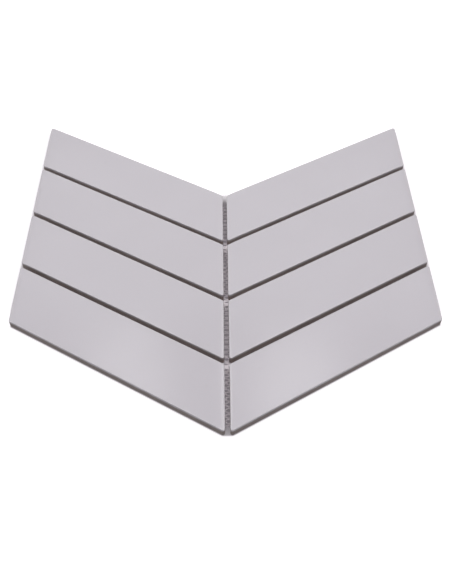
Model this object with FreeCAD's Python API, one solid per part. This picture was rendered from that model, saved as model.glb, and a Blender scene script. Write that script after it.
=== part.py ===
import FreeCAD, Part
import math
import os

# A chevron mosaic sheet lying face up: two mirrored columns of mitred porcelain chips on a mesh backing.
# The origin is at the middle of the sheet's box, on the floor. +X runs across the two columns,
# +Y from the point of the V towards its open end, and +Z out of the glazed face.

# Driving dimensions of a chip, in millimetres and degrees
chip_width = 38.0
chip_length = 152.0
chip_thickness = 6.0
mitre_angle = 30.0
edge_radius = 0.5
corner_radius = 1.2
back_bevel = 0.5

# Shallow keys pressed into the back of a chip
key_count = 4
key_depth = 0.4
key_border = 5.0
key_rib = 2.4
key_draft = 0.3

# Setting out of the sheet
row_count = 4
joint = 3.0

# Backing mesh, cut back from the edges of the sheet and glued on a little towards the open end of the V
mesh_thickness = 0.5
mesh_inset = 4.0
mesh_shift = 1.0

# Sizes that follow from the slope of the chips
slope = math.tan(math.radians(mitre_angle))
upright = 1.0 / math.cos(math.radians(mitre_angle))
chip_reach = chip_length / upright
chip_height = chip_width * upright
row_pitch = (chip_width + joint) * upright
inner_x = joint / 2.0
outer_x = inner_x + chip_reach
column_height = (row_count - 1) * row_pitch + chip_height
sheet_depth = column_height + chip_reach * slope
point_y = -sheet_depth / 2.0
back_z = mesh_thickness
face_z = back_z + chip_thickness
level_tolerance = 1e-6 * chip_thickness


def slanted_corners(panel, inset, z):
    """Corners of a slanted panel with upright ends, drawn in from every side by the inset, at height z."""
    x_near, x_far, y_near, height = panel
    x_start = x_near + inset
    x_end = x_far - inset
    low = y_near + inset * upright
    high = y_near + height - inset * upright
    rise_start = (x_start - x_near) * slope
    rise_end = (x_end - x_near) * slope
    return [
        FreeCAD.Vector(x_start, low + rise_start, z),
        FreeCAD.Vector(x_end, low + rise_end, z),
        FreeCAD.Vector(x_end, high + rise_end, z),
        FreeCAD.Vector(x_start, high + rise_start, z),
    ]


def flat_face(corners):
    """Plane face inside a closed run of corners."""
    return Part.Face(Part.makePolygon(corners + corners[:1]))


def tapered_panel(panel, low_z, low_inset, high_z, high_inset):
    """Solid with plane walls between two outlines of one slanted panel, each drawn in by its own inset."""
    low = slanted_corners(panel, low_inset, low_z)
    high = slanted_corners(panel, high_inset, high_z)
    walls = [flat_face([low[i - 1], low[i], high[i], high[i - 1]]) for i in range(len(low))]
    shell = Part.makeShell([flat_face(low), flat_face(high)] + walls)
    shell.sewShape()
    return Part.makeSolid(shell)


def upright_edges(solid):
    """Edges that run from the back of a chip to its face."""
    return [edge for edge in solid.Edges if edge.BoundBox.ZLength > chip_thickness / 2.0]


def level_edges(solid, z):
    """Edges that lie at height z."""
    return [edge for edge in solid.Edges if max(abs(v.Z - z) for v in edge.Vertexes) < level_tolerance]


def back_keys(panel):
    """Long recesses side by side along the back, with plain ribs between them and a plain border round them."""
    x_near, x_far, y_near, height = panel
    field_width = chip_width - 2.0 * key_border
    key_width = (field_width - (key_count - 1) * key_rib) / key_count
    first_y = y_near + key_border * upright + key_border * slope
    for number in range(key_count):
        key_y = first_y + number * (key_width + key_rib) * upright
        key = (x_near + key_border, x_far - key_border, key_y, key_width * upright)
        yield tapered_panel(key, back_z, 0.0, back_z + key_depth, key_draft)


def right_chip(row):
    """One chip of the right column: rounded corners, a cushioned face edge, a bevelled and keyed back."""
    panel = (inner_x, outer_x, point_y + row * row_pitch, chip_height)
    outline = flat_face(slanted_corners(panel, 0.0, back_z))
    body = outline.extrude(FreeCAD.Vector(0, 0, chip_thickness))
    body = body.makeFillet(corner_radius, upright_edges(body))
    body = body.makeFillet(edge_radius, level_edges(body, face_z))
    body = body.makeChamfer(back_bevel, level_edges(body, back_z))
    return body.cut(list(back_keys(panel)))


def mirrored(solid):
    """The same chip in the left column, across the centre joint."""
    return solid.mirror(FreeCAD.Vector(0, 0, 0), FreeCAD.Vector(1, 0, 0))


def mesh_sheet():
    """One thin sheet with the chevron outline of the chips, drawn in from the edges of the sheet."""
    side_x = outer_x - mesh_inset
    corner_y = point_y - inner_x * slope + mesh_shift
    low_y = corner_y + mesh_inset * upright
    high_y = corner_y + column_height - mesh_inset * upright
    side_rise = side_x * slope
    corners = [
        FreeCAD.Vector(0, low_y, 0),
        FreeCAD.Vector(side_x, low_y + side_rise, 0),
        FreeCAD.Vector(side_x, high_y + side_rise, 0),
        FreeCAD.Vector(0, high_y, 0),
        FreeCAD.Vector(-side_x, high_y + side_rise, 0),
        FreeCAD.Vector(-side_x, low_y + side_rise, 0),
    ]
    return flat_face(corners).extrude(FreeCAD.Vector(0, 0, mesh_thickness))


os.makedirs("parts", exist_ok=True)
mesh_sheet().exportStep("parts/mesh_backing.step")
for row in range(row_count):
    chip = right_chip(row)
    number = row_count - row
    chip.exportStep(f"parts/tile_right_{number}.step")
    mirrored(chip).exportStep(f"parts/tile_left_{number}.step")
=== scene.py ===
"""A chevron mosaic sheet: mitred porcelain strips with a satin glaze, glued to a white hexagonal netting."""

import math
from typing import NamedTuple

import bpy
import numpy as np
from mathutils import Matrix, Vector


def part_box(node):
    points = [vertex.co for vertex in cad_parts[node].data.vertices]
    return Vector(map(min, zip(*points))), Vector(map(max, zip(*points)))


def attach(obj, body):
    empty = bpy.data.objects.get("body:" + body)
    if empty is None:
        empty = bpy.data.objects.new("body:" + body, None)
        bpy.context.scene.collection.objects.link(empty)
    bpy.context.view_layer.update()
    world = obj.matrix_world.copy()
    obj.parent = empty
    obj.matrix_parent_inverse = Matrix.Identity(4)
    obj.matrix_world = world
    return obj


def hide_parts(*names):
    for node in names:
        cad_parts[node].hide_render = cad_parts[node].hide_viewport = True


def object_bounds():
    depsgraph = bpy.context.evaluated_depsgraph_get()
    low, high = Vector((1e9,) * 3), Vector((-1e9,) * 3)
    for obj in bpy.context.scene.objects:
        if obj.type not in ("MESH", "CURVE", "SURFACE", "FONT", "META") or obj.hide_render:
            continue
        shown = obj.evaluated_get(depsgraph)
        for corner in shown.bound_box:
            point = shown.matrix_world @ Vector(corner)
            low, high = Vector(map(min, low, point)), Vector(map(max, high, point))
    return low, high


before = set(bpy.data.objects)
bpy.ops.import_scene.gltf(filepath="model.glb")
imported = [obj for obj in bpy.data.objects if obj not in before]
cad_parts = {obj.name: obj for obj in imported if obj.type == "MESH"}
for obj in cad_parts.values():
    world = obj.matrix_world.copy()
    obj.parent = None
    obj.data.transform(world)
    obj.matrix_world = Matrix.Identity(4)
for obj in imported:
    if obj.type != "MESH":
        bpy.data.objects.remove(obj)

cad_low, cad_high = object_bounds()

MM = 0.001


class Pattern(NamedTuple):
    """Noise in a finish, spread over two levels between two limits of its own value.

    Its scale is in patches to a metre. It has finer layers, and the weight is theirs.
    """

    scale: float
    layers: float
    levels: tuple = (0.0, 1.0)
    limits: tuple = (0.3, 0.7)
    weight: float = 0.5


# Sizes of a strip, as in the solids
MITRE = math.radians(30.0)
STRIP_WIDTH = 38.0 * MM
CORNER_RADIUS = 1.2 * MM
BACK_BEVEL = 0.5 * MM
KEY_COUNT = 4
KEY_DEPTH = 0.4 * MM
KEY_BORDER = 5.0 * MM
KEY_RIB = 2.4 * MM
KEY_DRAFT = 0.3 * MM

# Edges of the face: crisp along the long sides, cushioned at the mitred ends
SIDE_RADIUS = 0.35 * MM
END_RADIUS = 0.55 * MM
EDGE_TURN = math.radians(78.0)
SIDE_FALL = 0.05 * MM
END_FALL = 0.28 * MM
SIDE_REACH = 0.9 * MM
END_REACH = 1.3 * MM

# Fineness of a strip's surface, and the band between its edge and the grid of its face
EDGE_STEPS = 8
WALL_STEPS = 4
ARC_STEPS = 3
KEY_LINES = 24
BAND_WIDTH = 3.2 * MM
BAND_RINGS = 9
SHARP_ANGLE = math.radians(35.0)

# How far the strips of each row were laid in towards the centre joint,
# from the open end of the V to its point
LAID_IN = (0.20 * MM, 0.16 * MM, 0.09 * MM, 0.08 * MM)

# Unevenness left by pressing and firing
SEED = 11
FACE_WAVE = 0.04 * MM
EDGE_WANDER = 0.07 * MM
WAVE_LENGTHS = (18.0 * MM, 55.0 * MM)
WAVE_COUNT = 6

# Netting with hexagonal cells, its rows turned a little against the sheet.
# Two yarns run side by side along the flat share of a cell's side.
NET_PITCH = 3.61 * MM
NET_FLAT = 0.88
NET_TURN = math.radians(2.0)
NET_CELL_AT = (0.5 * MM, 48.0 * MM)
NET_YARN_WIDTH = 1.04 * MM
NET_YARN_SIDES = 6
NET_LOOSE = 0.01 * MM
NET_SWAY = 0.5 * MM
NET_SWAY_LENGTHS = (8.0 * MM, 22.0 * MM)

# Lighter dabs in the netting where side joints meet the centre one: the yarns widen to fill the cells and
# lose their stitch shade
DAB_REACH = (3.0 * MM, 3.4 * MM)
DAB_SHIFT = 1.1 * MM
DAB_SPREAD = 1.2
DAB_FADE = (0.1, 0.9)
DAB_COLOUR = (0.785, 0.725, 0.765)

# Glaze, thin on the edges and made lighter there by a painted highlight, and the wavy line on the walls
# where it ends
GLAZE_COLOUR = (0.588, 0.555, 0.600)
GLAZE_HIGHLIGHT_COLOUR = (0.64, 0.61, 0.64)
RIM_HIGHLIGHT_ON_FACE = 0.6
GLAZE_LINE = 5.2 * MM
GLAZE_FADE = 1.1 * MM
GLAZE_LINE_WAVE = 1.6 * MM
GLAZE_LINE_NOISE = Pattern(140.0, 3.0)
GLAZE_CLOUD = Pattern(22.0, 2.0, (0.992, 1.008))
GLAZE_FLECK = Pattern(1500.0, 2.0, (0.985, 1.0), limits=(0.30, 0.55))
GLAZE_GLOSS = Pattern(900.0, 2.0, (0.155, 0.175))
GLAZE_SKIN = Pattern(700.0, 2.0)
GLAZE_SKIN_RELIEF = 0.25
STRIP_TONE = 0.008

# Bare fired clay on the walls and the back, with glue smeared on the flat of the back. The clay is dark:
# partly its own colour and partly painted shade, so that the walls darken below the glaze
CLAY_AND_SHADE_COLOUR = (0.318, 0.264, 0.246)
CLAY_ROUGHNESS = 0.86
CLAY_GRAIN = Pattern(1900.0, 4.0, (0.80, 1.12), limits=(0.25, 0.75), weight=0.65)
CLAY_STAIN = Pattern(90.0, 3.0, (0.92, 1.06))
CLAY_PITS = Pattern(2600.0, 4.0, weight=0.7)
STRIP_BUMP = (0.35, 0.06 * MM)
GLUE_COLOUR = (0.70, 0.69, 0.66)
GLUE_SMEAR = Pattern(75.0, 4.0, (0.0, 0.8), limits=(0.52, 0.60), weight=0.6)
GLUE_HEIGHTS = (0.55 * MM, 0.5 * MM)

# Yarn of the netting, darkened between its stitches by painted shade
YARN_COLOUR = (0.785, 0.721, 0.770)
YARN_ROUGHNESS = 0.75
YARN_FIBRES = Pattern(5200.0, 3.0, (0.9, 1.04), weight=0.6)
YARN_FIBRE_RELIEF = 0.5
YARN_BUMP = (0.6, 0.12 * MM)
STITCH_LENGTH = 0.75 * MM
STITCH_LEAN = 0.28 * MM
STITCH_SHADE_LIMITS = (0.0, 0.6)
STITCH_SHADE_LEVELS = (0.72, 1.0)

# Floor: a grey that is painted shade where it shows in the joints and the netting's cells
FLOOR_SHADE_COLOUR = (0.445, 0.409, 0.445)
FLOOR_SPECK = Pattern(300.0, 3.0, (0.98, 1.0))
FLOOR_HALF = 2.0
FLOOR_UNDER = 0.05 * MM

# Glow that lifts the floor to white, and the pairs of distances over which it changes: outside the sheet's
# outline, beside the outer ends, up from the lower corners, off the line of the centre joint, behind the
# joint, towards its mouth, and in the notch behind it. Far from the sheet it grows to its full strength.
# Where it is held back, at the sheet's foot and at the joints' ends, the floor's grey is painted shade set
# by place, added to the shadow that the floor takes.
GLOW_OUTSIDE = (-0.9 * MM, 1.0 * MM)
GLOW_BESIDE = (-0.3 * MM, 3.7 * MM)
GLOW_CORNER = (7.0 * MM, 18.0 * MM)
GLOW_OFF_JOINT = (0.5 * MM, 1.9 * MM)
GLOW_BEHIND_JOINT = (4.5 * MM, 9.0 * MM)
GLOW_MOUTH = (-10.0 * MM, -1.0 * MM)
GLOW_NOTCH = (-1.5 * MM, 7.0 * MM)
GLOW_FAR = (0.2, 0.6)
GLOW_AT_SHEET = 0.80
GLOW_AT_MOUTH = 0.12
GLOW_IN_NOTCH = 0.30

# Light of the room from above, and from below the light that the floor throws back
ROOM_LIGHT = (0.22, 0.22, 0.22)
FLOOR_BOUNCE = (0.335, 0.345, 0.38)
HORIZON = (-0.01, 0.01)
WHITE = (1.0, 1.0, 1.0)

# Softboxes: place, aim, width and height in metres, and radiance
MIDDLE = (0.0, 0.0, 0.0)
SOFTBOXES = {
    "overhead": ((0.0, -0.25, 1.45), (0.0, -0.20, 0.0), 1.5, 0.7, 3.6),
    "left": ((-1.25, 0.25, 1.2), MIDDLE, 0.8, 0.8, 1.6),
    "right": ((1.25, 0.25, 1.2), MIDDLE, 0.8, 0.8, 1.6),
    "behind": ((0.0, 1.31, 1.3), (0.0, 1.30, 0.0), 1.3, 0.8, 0.85),
    "lamp_left": ((-0.245, 0.72, 1.3), MIDDLE, 0.2, 0.26, 2.3),
    "lamp_right": ((0.205, 0.69, 1.3), MIDDLE, 0.2, 0.26, 2.6),
}

# Camera that took the photograph, from a fit to the strips' edges in its 452 x 584 frame
IMAGE_HEIGHT = 584
FOCAL_PIXELS = 714.74
SENSOR = 36.0
CAMERA_PLACE = (-5.67 * MM, -316.3 * MM, 357.85 * MM)
CAMERA_YAW = -0.0202
CAMERA_PITCH = 0.8922
CAMERA_ROLL = -0.0119
CAMERA_NEAR = 10.0 * MM

slope = math.tan(MITRE)
upright = 1.0 / math.cos(MITRE)
rng = np.random.default_rng(SEED)


def new_mesh(name, points, face_sets):
    """A mesh from one array of points and arrays of faces with equal corner counts."""
    corners = np.concatenate([faces.ravel() for faces in face_sets])
    sizes = np.concatenate([np.full(len(faces), faces.shape[1]) for faces in face_sets])
    starts = np.concatenate([[0], np.cumsum(sizes)[:-1]])
    mesh = bpy.data.meshes.new(name)
    mesh.vertices.add(len(points))
    mesh.vertices.foreach_set("co", points.astype(np.float32).ravel())
    mesh.loops.add(len(corners))
    mesh.loops.foreach_set("vertex_index", corners.astype(np.int32))
    mesh.polygons.add(len(sizes))
    mesh.polygons.foreach_set("loop_start", starts.astype(np.int32))
    mesh.polygons.foreach_set("use_smooth", np.ones(len(sizes), bool))
    mesh.update(calc_edges=True)
    mesh.validate()
    return mesh


def add_piece(name, mesh, material, node):
    """Shows a mesh as the piece that stands for one solid of the sheet."""
    piece = bpy.data.objects.new(name, mesh)
    bpy.context.scene.collection.objects.link(piece)
    mesh.materials.append(material)
    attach(piece, "root")
    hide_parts(node)
    return piece


def set_point_value(mesh, name, values):
    """Stores one number for each point of a mesh, for its material to read."""
    layer = mesh.attributes.new(name, "FLOAT", "POINT")
    layer.data.foreach_set("value", values.astype(np.float32).ravel())


def gentle_waves(lengths):
    """A function of x and y between 0 and 1, from the mean of a few sine waves in random directions."""
    turns = rng.uniform(0.0, 2.0 * np.pi, WAVE_COUNT)
    phases = rng.uniform(0.0, 2.0 * np.pi, WAVE_COUNT)
    rates = 2.0 * np.pi / rng.uniform(*lengths, WAVE_COUNT)

    def level(x, y):
        across = x[..., None] * np.cos(turns) + y[..., None] * np.sin(turns)
        return 0.5 + 0.5 * np.sin(rates * across + phases).mean(-1)

    return level


def rim_of(grid):
    """Rim of a grid, in the order of the plan's outline."""
    return np.concatenate([grid[:-1, 0], grid[-1, :-1], grid[:0:-1, -1], grid[0, :0:-1]])


def ring_quads(rings):
    """Quads between each pair of closed rings that follow one another, given as rows of point numbers."""
    here = rings[:-1]
    above = rings[1:]
    quads = [here, np.roll(here, -1, axis=1), np.roll(above, -1, axis=1), above]
    return np.stack(quads, axis=-1).reshape(-1, 4)


def grid_quads(index):
    """Quads of a rectangular grid of point numbers."""
    quads = [index[:-1, :-1], index[1:, :-1], index[1:, 1:], index[:-1, 1:]]
    return np.stack(quads, axis=-1).reshape(-1, 4)


def corner_arc(centre, angles):
    """Points of a rounded corner at the angles of its inward normals, and those normals."""
    normals = np.stack([np.cos(angles), np.sin(angles)], axis=1)
    return centre - CORNER_RADIUS * normals, normals


class StripPlan:
    """Plan of one strip about its own middle, shared by all the strips.

    The grid of its caps has lines at the edges and the drafts of the keys, and places that follow from the
    distances along and across the slanted panel.
    """

    def __init__(self, reach):
        self.reach = reach
        self.height = STRIP_WIDTH * upright
        self.rise = reach * slope
        self.low_y = -self.height / 2 - self.rise / 2
        key_width = (STRIP_WIDTH - 2 * KEY_BORDER - (KEY_COUNT - 1) * KEY_RIB) / KEY_COUNT
        starts = KEY_BORDER + np.arange(KEY_COUNT) * (key_width + KEY_RIB)
        self.keys = np.stack([starts, starts + key_width], axis=1)
        drafts = self.keys + (KEY_DRAFT, -KEY_DRAFT)
        self.across_knots = np.sort(np.concatenate([self.keys.ravel(), drafts.ravel(), self.keys.mean(1)]))
        inside = np.linspace(KEY_BORDER + KEY_DRAFT, reach - KEY_BORDER - KEY_DRAFT, KEY_LINES)
        self.along_knots = np.concatenate([[KEY_BORDER], inside, [reach - KEY_BORDER]])
        along = self.grid_line(self.along_knots, reach)
        across = self.grid_line(self.across_knots, STRIP_WIDTH)
        self.along, self.across = np.meshgrid(along, across, indexing="ij")
        grid_y = self.low_y + self.along * slope + self.across * upright
        self.grid = np.stack([self.along - reach / 2, grid_y], axis=-1)
        self.base, self.inward = self.outline()

    def grid_line(self, knots, length):
        """Knots of a cap's grid, with the extra lines at each end that meet the rounded corners."""
        near = np.linspace(BAND_WIDTH, knots[0], ARC_STEPS + 2)[:-1]
        far = np.linspace(knots[-1], length - BAND_WIDTH, ARC_STEPS + 2)[1:]
        return np.concatenate([near, knots, far])

    def outline(self):
        """Points round the plan, and the way each moves for one unit of inset.

        The four sides of the slanted panel are joined by arcs. A point on an arc moves along the arc's own
        normal. A point on a side moves along the two sides that meet it, so that grid lines stay straight.
        """
        corners = np.array([
            [-self.reach / 2, self.low_y],
            [self.reach / 2, self.low_y + self.rise],
            [self.reach / 2, self.low_y + self.rise + self.height],
            [-self.reach / 2, self.low_y + self.height],
        ])
        normal_angles = np.array([MITRE + np.pi / 2, np.pi, MITRE + 1.5 * np.pi, 2 * np.pi])
        slides = np.array([[0, upright], [-1, -slope], [0, -upright], [1, slope]])
        turns = np.roll(np.diff(normal_angles, append=normal_angles[0] + 2 * np.pi), 1)
        normals = np.stack([np.cos(normal_angles), np.sin(normal_angles)], axis=1)
        before = np.roll(normals, 1, axis=0)
        spread = 1.0 + (normals * before).sum(1, keepdims=True)
        centres = corners + CORNER_RADIUS * (normals + before) / spread
        shares = [
            self.along_knots / self.reach,
            self.across_knots / STRIP_WIDTH,
            1.0 - self.along_knots[::-1] / self.reach,
            1.0 - self.across_knots[::-1] / STRIP_WIDTH,
        ]
        half = np.linspace(0.0, 0.5, ARC_STEPS + 1)
        stretches = []
        for side in range(4):
            after = (side + 1) % 4
            straight = corners[side] + shares[side][:, None] * (corners[after] - corners[side])
            stretches += [
                corner_arc(centres[side], normal_angles[side] - turns[side] * half[::-1]),
                (straight, np.broadcast_to(slides[side], straight.shape)),
                corner_arc(centres[after], normal_angles[side] + turns[after] * half[:-1]),
            ]
        return [np.concatenate(parts) for parts in zip(*stretches)]

    def edge_shares(self, x, y):
        """How near places are to the long sides and to the ends: 1 at the edge, falling exponentially."""
        along = x + self.reach / 2
        across = (y - self.low_y - along * slope) / upright
        to_side = np.minimum(across, STRIP_WIDTH - across)
        to_end = np.minimum(along, self.reach - along)
        return np.exp(-to_side / SIDE_REACH), np.exp(-to_end / END_REACH)


def face_fall(plan, x, y):
    """Depth of the face below its middle: exponentials of the distances from the sides and the ends."""
    near_side, near_end = plan.edge_shares(x, y)
    return SIDE_FALL * near_side + END_FALL * near_end


def wall_rings(plan, wander, back_z, face_z):
    """Rings from the back up the wall and round the face's edge, and the painted highlight of the thin glaze
    on each.

    The edge is an arc that stops short of level, where the face begins. Its radius goes from that of the
    long sides to that of the ends as each point nears an end. The glaze is thinnest half way to level,
    and its painted highlight is strongest there.
    """
    near_end = plan.edge_shares(*plan.base.T)[1]
    radius = SIDE_RADIUS + (END_RADIUS - SIDE_RADIUS) * near_end
    turn = np.linspace(0.0, EDGE_TURN, EDGE_STEPS + 1)[1:, None]
    rise = np.linspace(0.0, 1.0, WALL_STEPS + 1)[:, None]
    back_ring = np.ones((1, len(radius)))
    inset = np.concatenate([
        BACK_BEVEL * back_ring,
        np.zeros((len(rise), len(radius))),
        radius * (1 - np.cos(turn)),
    ])
    place = plan.base + (inset + wander)[..., None] * plan.inward
    top = face_z - face_fall(plan, *place[-1].T) - radius * math.sin(EDGE_TURN)
    bevel = back_z + BACK_BEVEL
    height = np.concatenate([
        back_z * back_ring,
        bevel + rise * (top - bevel),
        top + radius * np.sin(turn),
    ])
    edge_highlight = np.concatenate([np.zeros(1 + len(rise)), np.sin(2.0 * turn[:, 0]) ** 2])
    return np.concatenate([place, height[..., None]], axis=2), np.repeat(edge_highlight, len(radius))


def waved_face(plan, edge, face_z):
    """Points of the face, and how near each is to an edge. A band of rings leads from the edge to a grid.

    The face falls to its edges, and gentle waves that die out there lower it a little more.
    """
    share = np.linspace(0.0, 1.0, BAND_RINGS + 2)[1:-1, None, None]
    band = edge + share * (rim_of(plan.grid) - edge)
    x, y = np.concatenate([band.reshape(-1, 2), plan.grid.reshape(-1, 2)]).T
    at_edge = np.maximum(*plan.edge_shares(x, y))
    wave = FACE_WAVE * (1.0 - at_edge) * gentle_waves(WAVE_LENGTHS)(x, y)
    return np.stack([x, y, face_z - face_fall(plan, x, y) - wave], axis=-1), at_edge


def keyed_back(plan, back_z):
    """Points of the back's grid, which sinks with the distance inside a key, down to the key's depth."""
    in_key = np.max([np.minimum(plan.across - start, end - plan.across) for start, end in plan.keys], axis=0)
    in_length = np.minimum(plan.along - KEY_BORDER, plan.reach - KEY_BORDER - plan.along)
    sunk = np.clip(np.minimum(in_key, in_length) / KEY_DRAFT, 0.0, 1.0)
    return np.dstack([plan.grid, back_z + KEY_DEPTH * sunk]).reshape(-1, 3)


def strip_mesh(name, node, plan):
    """A strip as one closed surface: a wall profile carried round the plan, capped by the face and the back.

    It is worked out about its own middle, laid in towards the centre joint, mirrored in the left column and
    moved to its solid's place. The node's name ends with the number of the row.
    """
    low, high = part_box(node)
    middle_x = (low.x + high.x) / 2
    middle_y = (low.y + high.y) / 2
    side = 1.0 if middle_x > 0 else -1.0
    wander = EDGE_WANDER * gentle_waves(WAVE_LENGTHS)(*plan.base.T)
    rim, rim_highlight = wall_rings(plan, wander, low.z, high.z)
    face, at_edge = waved_face(plan, rim[-1, :, :2], high.z)
    back = keyed_back(plan, low.z)
    points = np.concatenate([rim.reshape(-1, 3), face, back])
    points[:, 0] = side * (points[:, 0] - LAID_IN[int(node[-1]) - 1])
    points[:, :2] += (middle_x, middle_y)

    around = len(plan.base)
    ring_index = np.arange((len(rim) + BAND_RINGS) * around).reshape(-1, around)
    face_index = ring_index.size + np.arange(len(back)).reshape(plan.along.shape)
    back_index = face_index + len(back)
    quads = np.concatenate([
        ring_quads(np.concatenate([rim_of(back_index)[None], ring_index, rim_of(face_index)[None]])),
        grid_quads(face_index),
        grid_quads(back_index)[:, ::-1],
    ])
    if side < 0:
        quads = quads[:, ::-1]
    mesh = new_mesh(name, points, [quads])
    mesh.set_sharp_from_angle(angle=SHARP_ANGLE)

    # Where the glaze thins, on the face's rim and the rounded edges, it gets a painted highlight
    edge_highlight = np.concatenate([rim_highlight, RIM_HIGHLIGHT_ON_FACE * at_edge, np.zeros(len(back))])
    set_point_value(mesh, "thin_glaze_highlight", edge_highlight)
    set_point_value(mesh, "strip_tone", np.full(len(points), rng.uniform(-1.0, 1.0)))
    return mesh


def row_levels():
    """Heights on the middle line of the rows of strips, carried in along the slope, from the point up."""
    levels = []
    for node in (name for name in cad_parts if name.startswith("tile_right")):
        low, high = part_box(node)
        levels.append((low.y + high.y) / 2 - abs(low.x + high.x) / 2 * slope)
    return np.sort(levels)


def crossing_patch_share(x, y):
    """Share of the lighter dab in the netting, from 0 to 1: a bell-shaped dab wherever the joints cross."""
    rows = row_levels()
    crossings = (rows[:-1] + rows[1:]) / 2 + DAB_SHIFT
    away = (x[..., None] / DAB_REACH[0]) ** 2 + ((y[..., None] - crossings) / DAB_REACH[1]) ** 2
    return np.exp(-away).max(axis=-1)


def yarn_rows(size):
    """Middle lines of the yarns, as trapezoid waves along the rows of cells.

    Yarns run side by side along a cell's flat edge, then part along its slants. Those that follow one
    another are half a wave apart, so that each meets the one above and the one below in turn.
    """
    half_cell = NET_PITCH / 2
    cell_side = NET_PITCH / math.sqrt(3.0)
    column = 1.5 * cell_side
    columns = np.arange(-math.ceil(size / column), math.ceil(size / column) + 1)
    yarns = np.arange(-math.ceil(size / half_cell), math.ceil(size / half_cell) + 1)[:, None]
    flat_ends = np.array([-0.5, 0.5]) * NET_FLAT * cell_side
    row_x = (columns[:, None] * column + flat_ends).ravel()
    lower = (np.repeat(columns, 2) + yarns) % 2 == 1
    part = NET_YARN_WIDTH / 2
    row_y = np.where(lower, yarns * half_cell + part, (yarns + 1) * half_cell - part)
    return np.broadcast_to(row_x, row_y.shape), row_y


def lay_yarns(row_x, row_y):
    """Turns the rows against the sheet, and pulls the cells out of line by gentle waves in x and in y."""
    x = NET_CELL_AT[0] + row_x * math.cos(NET_TURN) + row_y * math.sin(NET_TURN)
    y = NET_CELL_AT[1] - row_x * math.sin(NET_TURN) + row_y * math.cos(NET_TURN)
    sway_x, sway_y = [NET_SWAY * gentle_waves(NET_SWAY_LENGTHS)(x, y) for _ in range(2)]
    return x + sway_x, y + sway_y


def depth_in_chevron(x, y, low, high):
    """Distance of places from the nearest edge of the netting's chevron outline, above 0 inside it."""
    top_y = high.y - high.x * slope
    level = y - np.abs(x) * slope
    return np.minimum.reduce([high.x - np.abs(x), (level - low.y) / upright, (top_y - level) / upright])


def cut_ends(x, y, inside):
    """Moves each point just past an outline to where its line crosses the outline.

    The crossing divides the step from the last point inside in the ratio of the two points' distances.
    """
    for step in (1, -1):
        near_x, near_y, near = (np.roll(values, step, axis=1) for values in (x, y, inside))
        leaves = (near > 0) & (inside <= 0)
        share = near / np.where(leaves, near - inside, 1.0)
        x = np.where(leaves, near_x + share * (x - near_x), x)
        y = np.where(leaves, near_y + share * (y - near_y), y)
        inside = np.where(leaves, 0.0, inside)
    return x, y


def yarn_faces(index, kept):
    """Quads along the yarns wherever a step has a kept end, and a cap on each end of a run of such steps."""
    joined = kept[:, :-1] | kept[:, 1:]
    here = index[:, :-1]
    ahead = index[:, 1:]
    begins = joined & ~np.pad(joined, ((0, 0), (1, 0)))[:, :-1]
    stops = joined & ~np.pad(joined, ((0, 0), (0, 1)))[:, 1:]
    caps = np.concatenate([here[begins], ahead[stops][:, ::-1]])
    here = here[joined]
    ahead = ahead[joined]
    quads = np.stack([here, ahead, np.roll(ahead, -1, 1), np.roll(here, -1, 1)], axis=-1)
    return quads.reshape(-1, 4), caps


def net_mesh(name, node):
    """Hexagonal netting: an ellipse carried along each yarn, cut where the yarns leave the chevron outline.

    The ellipse is wider in the dabs, where it fills the cells.
    """
    low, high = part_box(node)
    part = NET_YARN_WIDTH / 2
    half_thickness = (high.z - low.z - NET_LOOSE) / 2
    x, y = lay_yarns(*yarn_rows(math.hypot(high.x - low.x, high.y - low.y)))
    inside = depth_in_chevron(x, y, low, high) - part
    x, y = cut_ends(x, y, inside)

    along_x = np.gradient(x, axis=1)
    along_y = np.gradient(y, axis=1)
    length = np.hypot(along_x, along_y)
    turn = np.linspace(0.0, 2 * np.pi, NET_YARN_SIDES, endpoint=False)
    crossing_patch = crossing_patch_share(x, y)
    wide = part * (1.0 + DAB_SPREAD * crossing_patch)[..., None] * np.cos(turn)
    thick = half_thickness * np.sin(turn) / np.sin(turn).max()
    ring_x = x[..., None] - wide * (along_y / length)[..., None]
    ring_y = y[..., None] + wide * (along_x / length)[..., None]
    ring_z = np.broadcast_to(low.z + half_thickness + thick, ring_x.shape)
    points = np.stack([ring_x, ring_y, ring_z], axis=-1)

    index = np.arange(ring_x.size).reshape(ring_x.shape)
    quads, caps = yarn_faces(index, inside > 0)
    used, packed = np.unique(np.concatenate([quads.ravel(), caps.ravel()]), return_inverse=True)
    quads = packed[:quads.size].reshape(-1, 4)
    caps = packed[quads.size:].reshape(-1, NET_YARN_SIDES)
    mesh = new_mesh(name, points.reshape(-1, 3)[used], [quads, caps])

    step_x = np.diff(x, axis=1, prepend=x[:, :1])
    step_y = np.diff(y, axis=1, prepend=y[:, :1])
    run = np.cumsum(np.hypot(step_x, step_y), axis=1)
    stored = {"yarn_run": run[..., None], "yarn_side": np.cos(turn), "crossing_patch": crossing_patch[..., None]}
    for value_name, values in stored.items():
        set_point_value(mesh, value_name, np.broadcast_to(values, index.shape).reshape(-1)[used])
    return mesh


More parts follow.
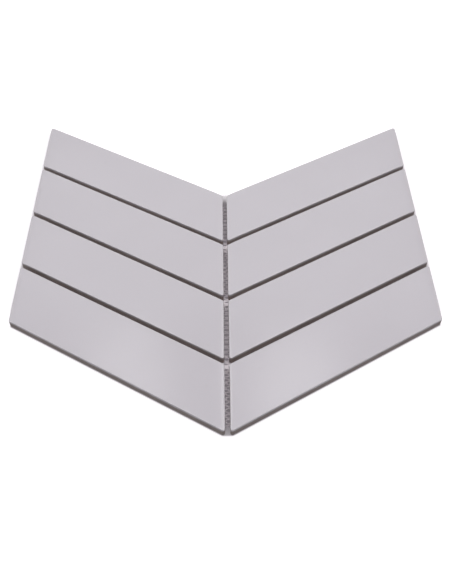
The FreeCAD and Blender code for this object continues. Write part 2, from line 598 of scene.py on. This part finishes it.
class Nodes:
    """Short ways to add and join the nodes of one material or of the world."""

    def __init__(self, owner):
        owner.use_nodes = True
        self.owner = owner
        self.tree = owner.node_tree
        self.tree.nodes.clear()

    def put(self, socket, value):
        """Joins a socket to another, or sets it to a plain value."""
        if isinstance(value, bpy.types.NodeSocket):
            self.tree.links.new(value, socket)
        else:
            socket.default_value = value

    def add(self, kind, settings=None, **inputs):
        """A node whose inputs are set by their names."""
        node = self.tree.nodes.new(kind)
        for key, value in (settings or {}).items():
            setattr(node, key, value)
        for key, value in inputs.items():
            self.put(node.inputs[key.replace("_", " ")], value)
        return node

    def result(self, kind, *values, **settings):
        """First output of a node whose inputs take the values in order."""
        node = self.add(kind, settings)
        for socket, value in zip(node.inputs, values):
            self.put(socket, value)
        return node.outputs[0]

    def math(self, operation, *values):
        """One operation of arithmetic on its values."""
        return self.result("ShaderNodeMath", *values, operation=operation)

    def chain(self, operation, first, *others):
        """One operation carried through any number of values."""
        for other in others:
            first = self.math(operation, first, other)
        return first

    def ramp(self, value, low, high, to_low=0.0, to_high=1.0):
        """Smooth step from to_low to to_high, while a value goes from low to high."""
        return self.result("ShaderNodeMapRange", value, low, high, to_low, to_high,
                           interpolation_type="SMOOTHSTEP")

    def noise(self, place, pattern):
        """A pattern's plain noise."""
        return self.add("ShaderNodeTexNoise", Vector=place, Scale=pattern.scale, Detail=pattern.layers,
                        Roughness=pattern.weight).outputs["Fac"]

    def levels(self, place, pattern):
        """A pattern's noise spread smoothly over its levels."""
        return self.ramp(self.noise(place, pattern), *pattern.limits, *pattern.levels)

    def mix(self, share, first, second, blend="MIX"):
        """First colour blended with the second by a share."""
        node = self.add("ShaderNodeMix", {"data_type": "RGBA", "blend_type": blend})
        self.put(node.inputs[0], share)
        sockets = [socket for socket in node.inputs if socket.type == "RGBA"]
        for socket, colour in zip(sockets, (first, second)):
            self.put(socket, colour if isinstance(colour, bpy.types.NodeSocket) else (*colour, 1.0))
        return next(socket for socket in node.outputs if socket.type == "RGBA")

    def shaded(self, colour, level):
        """A colour times a level."""
        grey = self.result("ShaderNodeCombineColor", level, level, level)
        return self.mix(1.0, colour, grey, "MULTIPLY")

    def place(self):
        """Place on the piece, in the frame's own coordinates."""
        return self.add("ShaderNodeTexCoord").outputs["Object"]

    def point_value(self, name):
        """A number stored on the points of the mesh."""
        return self.add("ShaderNodeAttribute", {"attribute_name": name}).outputs["Fac"]

    def bump(self, height, strength, distance):
        """Normal of a fine relief."""
        return self.add("ShaderNodeBump", Strength=strength, Distance=distance, Height=height).outputs[0]

    def background_share(self):
        """1 for rays that show the background: from the camera, off gloss and through glass."""
        rays = self.add("ShaderNodeLightPath").outputs
        shown = [rays[f"Is {kind} Ray"] for kind in ("Camera", "Glossy", "Transmission")]
        return self.chain("MAXIMUM", *shown)

    def finish(self, shader, output="ShaderNodeOutputMaterial"):
        """Joins a shader to the output, and gives the material or the world."""
        self.add(output, Surface=shader)
        return self.owner


def glazed_porcelain():
    """Satin glaze over the face and down the walls to a wavy line, and bare fired clay below and behind.

    The line is a level in the height with noise added to it. Clouds, flecks and a tone of the strip's own
    vary the glaze, and grain and stains vary the clay. The clay's dark colour is partly its own and partly
    painted shade on the walls.
    """
    nodes = Nodes(bpy.data.materials.new("glazed_porcelain"))
    place = nodes.place()
    height = nodes.add("ShaderNodeSeparateXYZ", Vector=place).outputs["Z"]
    wave = nodes.math("SUBTRACT", nodes.noise(place, GLAZE_LINE_NOISE), 0.5)
    wave = nodes.math("MULTIPLY", wave, GLAZE_LINE_WAVE)
    glazed = nodes.ramp(nodes.math("ADD", height, wave), GLAZE_LINE - GLAZE_FADE, GLAZE_LINE + GLAZE_FADE)
    bare = nodes.math("SUBTRACT", 1.0, glazed)

    cloud = nodes.levels(place, GLAZE_CLOUD)
    fleck = nodes.levels(place, GLAZE_FLECK)
    tone = nodes.math("MULTIPLY_ADD", nodes.point_value("strip_tone"), STRIP_TONE, 1.0)
    # Painted highlight: the glaze is lighter where it thins on the edges
    glaze = nodes.mix(nodes.point_value("thin_glaze_highlight"), GLAZE_COLOUR, GLAZE_HIGHLIGHT_COLOUR)
    glaze = nodes.shaded(glaze, nodes.chain("MULTIPLY", cloud, fleck, tone))

    grain = nodes.levels(place, CLAY_GRAIN)
    stain = nodes.levels(place, CLAY_STAIN)
    # Partly painted shade: the clay is drawn dark so that the walls below the glaze look shaded
    clay_and_shade = nodes.shaded(CLAY_AND_SHADE_COLOUR, nodes.math("MULTIPLY", grain, stain))
    smear = nodes.math("MULTIPLY", nodes.ramp(height, *GLUE_HEIGHTS), nodes.levels(place, GLUE_SMEAR))
    clay_and_shade = nodes.mix(smear, clay_and_shade, GLUE_COLOUR)

    colour = nodes.mix(glazed, clay_and_shade, glaze)
    glaze_roughness = nodes.math("MULTIPLY", glazed, nodes.levels(place, GLAZE_GLOSS))
    roughness = nodes.math("ADD", glaze_roughness, nodes.math("MULTIPLY", bare, CLAY_ROUGHNESS))
    skin = nodes.chain("MULTIPLY", glazed, nodes.noise(place, GLAZE_SKIN), GLAZE_SKIN_RELIEF)
    pits = nodes.math("MULTIPLY", bare, nodes.noise(place, CLAY_PITS))
    normal = nodes.bump(nodes.math("ADD", skin, pits), *STRIP_BUMP)
    shader = nodes.add("ShaderNodeBsdfPrincipled", Base_Color=colour, Roughness=roughness, Normal=normal)
    return nodes.finish(shader.outputs[0])


def knitted_yarn():
    """White yarn of chained loops: slanting stitches along each yarn, with painted shade and finer fibres
    between them.

    A stitch is half a sine wave of the run along the yarn, shifted more and more towards the yarn's sides.
    In the dabs the yarn is plain, without the stitches.
    """
    nodes = Nodes(bpy.data.materials.new("white_netting"))
    place = nodes.place()
    lean = nodes.math("MULTIPLY", nodes.math("ABSOLUTE", nodes.point_value("yarn_side")), STITCH_LEAN)
    run = nodes.math("ADD", nodes.point_value("yarn_run"), lean)
    stitch = nodes.math("FRACT", nodes.math("DIVIDE", run, STITCH_LENGTH))
    crown = nodes.math("SINE", nodes.math("MULTIPLY", stitch, math.pi))
    # Painted shade: the yarn is darker between stitches and lighter on their crowns
    painted_stitch_shade = nodes.ramp(crown, *STITCH_SHADE_LIMITS, *STITCH_SHADE_LEVELS)
    shade = nodes.math("MULTIPLY", painted_stitch_shade, nodes.levels(place, YARN_FIBRES))
    patched = nodes.ramp(nodes.point_value("crossing_patch"), *DAB_FADE)
    colour = nodes.mix(patched, nodes.shaded(YARN_COLOUR, shade), DAB_COLOUR)
    fibres = nodes.math("MULTIPLY", nodes.noise(place, YARN_FIBRES), YARN_FIBRE_RELIEF)
    normal = nodes.bump(nodes.math("ADD", crown, fibres), *YARN_BUMP)
    shader = nodes.add("ShaderNodeBsdfPrincipled", Base_Color=colour, Roughness=YARN_ROUGHNESS,
                       Normal=normal)
    return nodes.finish(shader.outputs[0])


def floor_glow(nodes):
    """Strength of the floor's glow: the largest of several smooth steps of the distance outside the sheet.

    It is strong in front of the sheet, at its lower corners, and behind it off the line of the centre joint.
    It sets in more slowly beside the outer ends and behind the centre joint, and it is weak in the notch and
    at the mouth of that joint: there the floor's grey is painted shade, set by place and added to the shadow
    that it takes, so that the joints end in shade. Only rays that show the background see it.
    """
    spot = nodes.add("ShaderNodeSeparateXYZ", Vector=nodes.place()).outputs
    across = nodes.math("ABSOLUTE", spot["X"])
    level = nodes.math("SUBTRACT", spot["Y"], nodes.math("MULTIPLY", across, slope))
    rows = row_levels()
    half_row = STRIP_WIDTH * upright / 2
    above_low = nodes.math("SUBTRACT", level, rows[0] - half_row)
    behind = nodes.math("SUBTRACT", level, rows[-1] + half_row)
    beside = nodes.math("SUBTRACT", across, cad_high.x)
    past_point = nodes.math("SUBTRACT", cad_low.y, spot["Y"])
    in_front = nodes.math("MAXIMUM", nodes.math("MULTIPLY", above_low, -1.0), past_point)

    at_corner = nodes.ramp(above_low, *GLOW_CORNER, 1.0, 0.0)
    off_joint = nodes.ramp(across, *GLOW_OFF_JOINT)
    strong = nodes.chain(
        "MAXIMUM",
        nodes.ramp(in_front, *GLOW_OUTSIDE),
        nodes.ramp(beside, *GLOW_BESIDE),
        nodes.math("MULTIPLY", at_corner, nodes.ramp(beside, *GLOW_OUTSIDE)),
        nodes.math("MULTIPLY", off_joint, nodes.ramp(behind, *GLOW_OUTSIDE)),
        nodes.ramp(behind, *GLOW_BEHIND_JOINT),
    )
    squares = [nodes.math("POWER", spot[axis], 2.0) for axis in "XY"]
    distance = nodes.math("SQRT", nodes.math("ADD", *squares))
    strong = nodes.math("MULTIPLY", strong, nodes.ramp(distance, *GLOW_FAR, GLOW_AT_SHEET, 1.0))
    # Painted shade: the glow is held back at the mouth and in the notch, so the floor stays grey there
    mouth = nodes.ramp(past_point, *GLOW_MOUTH, 0.0, GLOW_AT_MOUTH)
    notch = nodes.ramp(behind, *GLOW_NOTCH, 0.0, GLOW_IN_NOTCH)
    return nodes.math("MULTIPLY", nodes.chain("MAXIMUM", strong, mouth, notch), nodes.background_share())


def white_table():
    """Pale floor that takes the sheet's shadow, and that the camera and reflections see as white beyond it.

    From below it is clear, so that the back of the sheet can be looked at.
    """
    nodes = Nodes(bpy.data.materials.new("white_table"))
    # Painted shade: the floor is grey where the glow does not lift it, in the joints and at their ends
    colour = nodes.shaded(FLOOR_SHADE_COLOUR, nodes.levels(nodes.place(), FLOOR_SPECK))
    diffuse = nodes.add("ShaderNodeBsdfDiffuse", Color=colour).outputs[0]
    glow = nodes.add("ShaderNodeEmission", Color=(*WHITE, 1.0), Strength=floor_glow(nodes)).outputs[0]
    lit = nodes.result("ShaderNodeAddShader", diffuse, glow)
    clear = nodes.add("ShaderNodeBsdfTransparent").outputs[0]
    from_below = nodes.add("ShaderNodeNewGeometry").outputs["Backfacing"]
    return nodes.finish(nodes.result("ShaderNodeMixShader", from_below, lit, clear))


def add_table():
    """Level square floor under the sheet.

    It neither lights nor shades the sheet, because the lower half of the room gives the light that it would
    throw back.
    """
    corners = np.array([[-1, -1], [1, -1], [1, 1], [-1, 1]]) * FLOOR_HALF
    points = np.column_stack([corners, np.full(4, cad_low.z - FLOOR_UNDER)])
    mesh = new_mesh("table", points, [np.array([[0, 1, 2, 3]])])
    mesh.materials.append(white_table())
    table = bpy.data.objects.new("table", mesh)
    bpy.context.scene.collection.objects.link(table)
    table.visible_diffuse = False
    table.visible_shadow = False


def aimed(place, target, roll=0.0):
    """Turn and place that look from a place at a target, with the image's up nearest to +Z, then rolled."""
    place = np.array(place, float)
    forward = np.array(target, float) - place
    forward /= np.linalg.norm(forward)
    right = np.cross(forward, (0.0, 0.0, 1.0))
    right /= np.linalg.norm(right)
    up = np.cross(right, forward)
    image_right = right * math.cos(roll) - up * math.sin(roll)
    image_up = right * math.sin(roll) + up * math.cos(roll)
    rows = np.column_stack([image_right, image_up, -forward, place])
    return Matrix([*rows.tolist(), [0.0, 0.0, 0.0, 1.0]])


def add_camera():
    """Camera with the photograph's place, tilt and field of view, its sensor along the image's height."""
    lens = bpy.data.cameras.new("camera")
    lens.sensor_width = SENSOR
    lens.lens = FOCAL_PIXELS / IMAGE_HEIGHT * SENSOR
    lens.clip_start = CAMERA_NEAR
    camera = bpy.data.objects.new("camera", lens)
    level = math.cos(CAMERA_PITCH)
    ahead = (-math.sin(CAMERA_YAW) * level, math.cos(CAMERA_YAW) * level, -math.sin(CAMERA_PITCH))
    camera.matrix_world = aimed(CAMERA_PLACE, np.add(CAMERA_PLACE, ahead), CAMERA_ROLL)
    bpy.context.scene.collection.objects.link(camera)
    bpy.context.scene.camera = camera


def add_softbox(name, place, target, width, height, radiance):
    """Rectangular lamp that gives the radiance named, whatever its size."""
    lamp = bpy.data.lights.new(name, "AREA")
    lamp.shape = "RECTANGLE"
    lamp.size = width
    lamp.size_y = height
    lamp.energy = radiance * math.pi * width * height
    box = bpy.data.objects.new(name, lamp)
    box.matrix_world = aimed(place, target)
    bpy.context.scene.collection.objects.link(box)


def dim_room():
    """Even dim light from above, and from below the light that a pale floor throws back.

    Both are white where the room is seen.
    """
    nodes = Nodes(bpy.data.worlds.new("room"))
    way = nodes.add("ShaderNodeTexCoord").outputs["Generated"]
    up = nodes.add("ShaderNodeSeparateXYZ", Vector=way).outputs["Z"]
    light = nodes.mix(nodes.ramp(up, *HORIZON), FLOOR_BOUNCE, ROOM_LIGHT)
    shown = nodes.mix(nodes.background_share(), light, WHITE)
    return nodes.finish(nodes.add("ShaderNodeBackground", Color=shown).outputs[0], "ShaderNodeOutputWorld")


def add_lights():
    """Wide softboxes overhead, at both sides and behind, and two small lamps that show in the glaze."""
    for name, settings in SOFTBOXES.items():
        add_softbox(name, *settings)
    bpy.context.scene.world = dim_room()


def build_sheet():
    """Every strip, then the netting under them."""
    glaze = glazed_porcelain()
    strips = sorted(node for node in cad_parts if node.startswith("tile_"))
    low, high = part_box(strips[0])
    plan = StripPlan(high.x - low.x)
    for node in strips:
        name = f"glazed_{node}"
        add_piece(name, strip_mesh(name, node, plan), glaze, node)
    net = add_piece("hexagonal_netting", net_mesh("hexagonal_netting", "mesh_backing"), knitted_yarn(),
                    "mesh_backing")
    low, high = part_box("mesh_backing")


build_sheet()
add_table()
add_lights()
add_camera()
bpy.context.scene.view_settings.view_transform = "Standard"
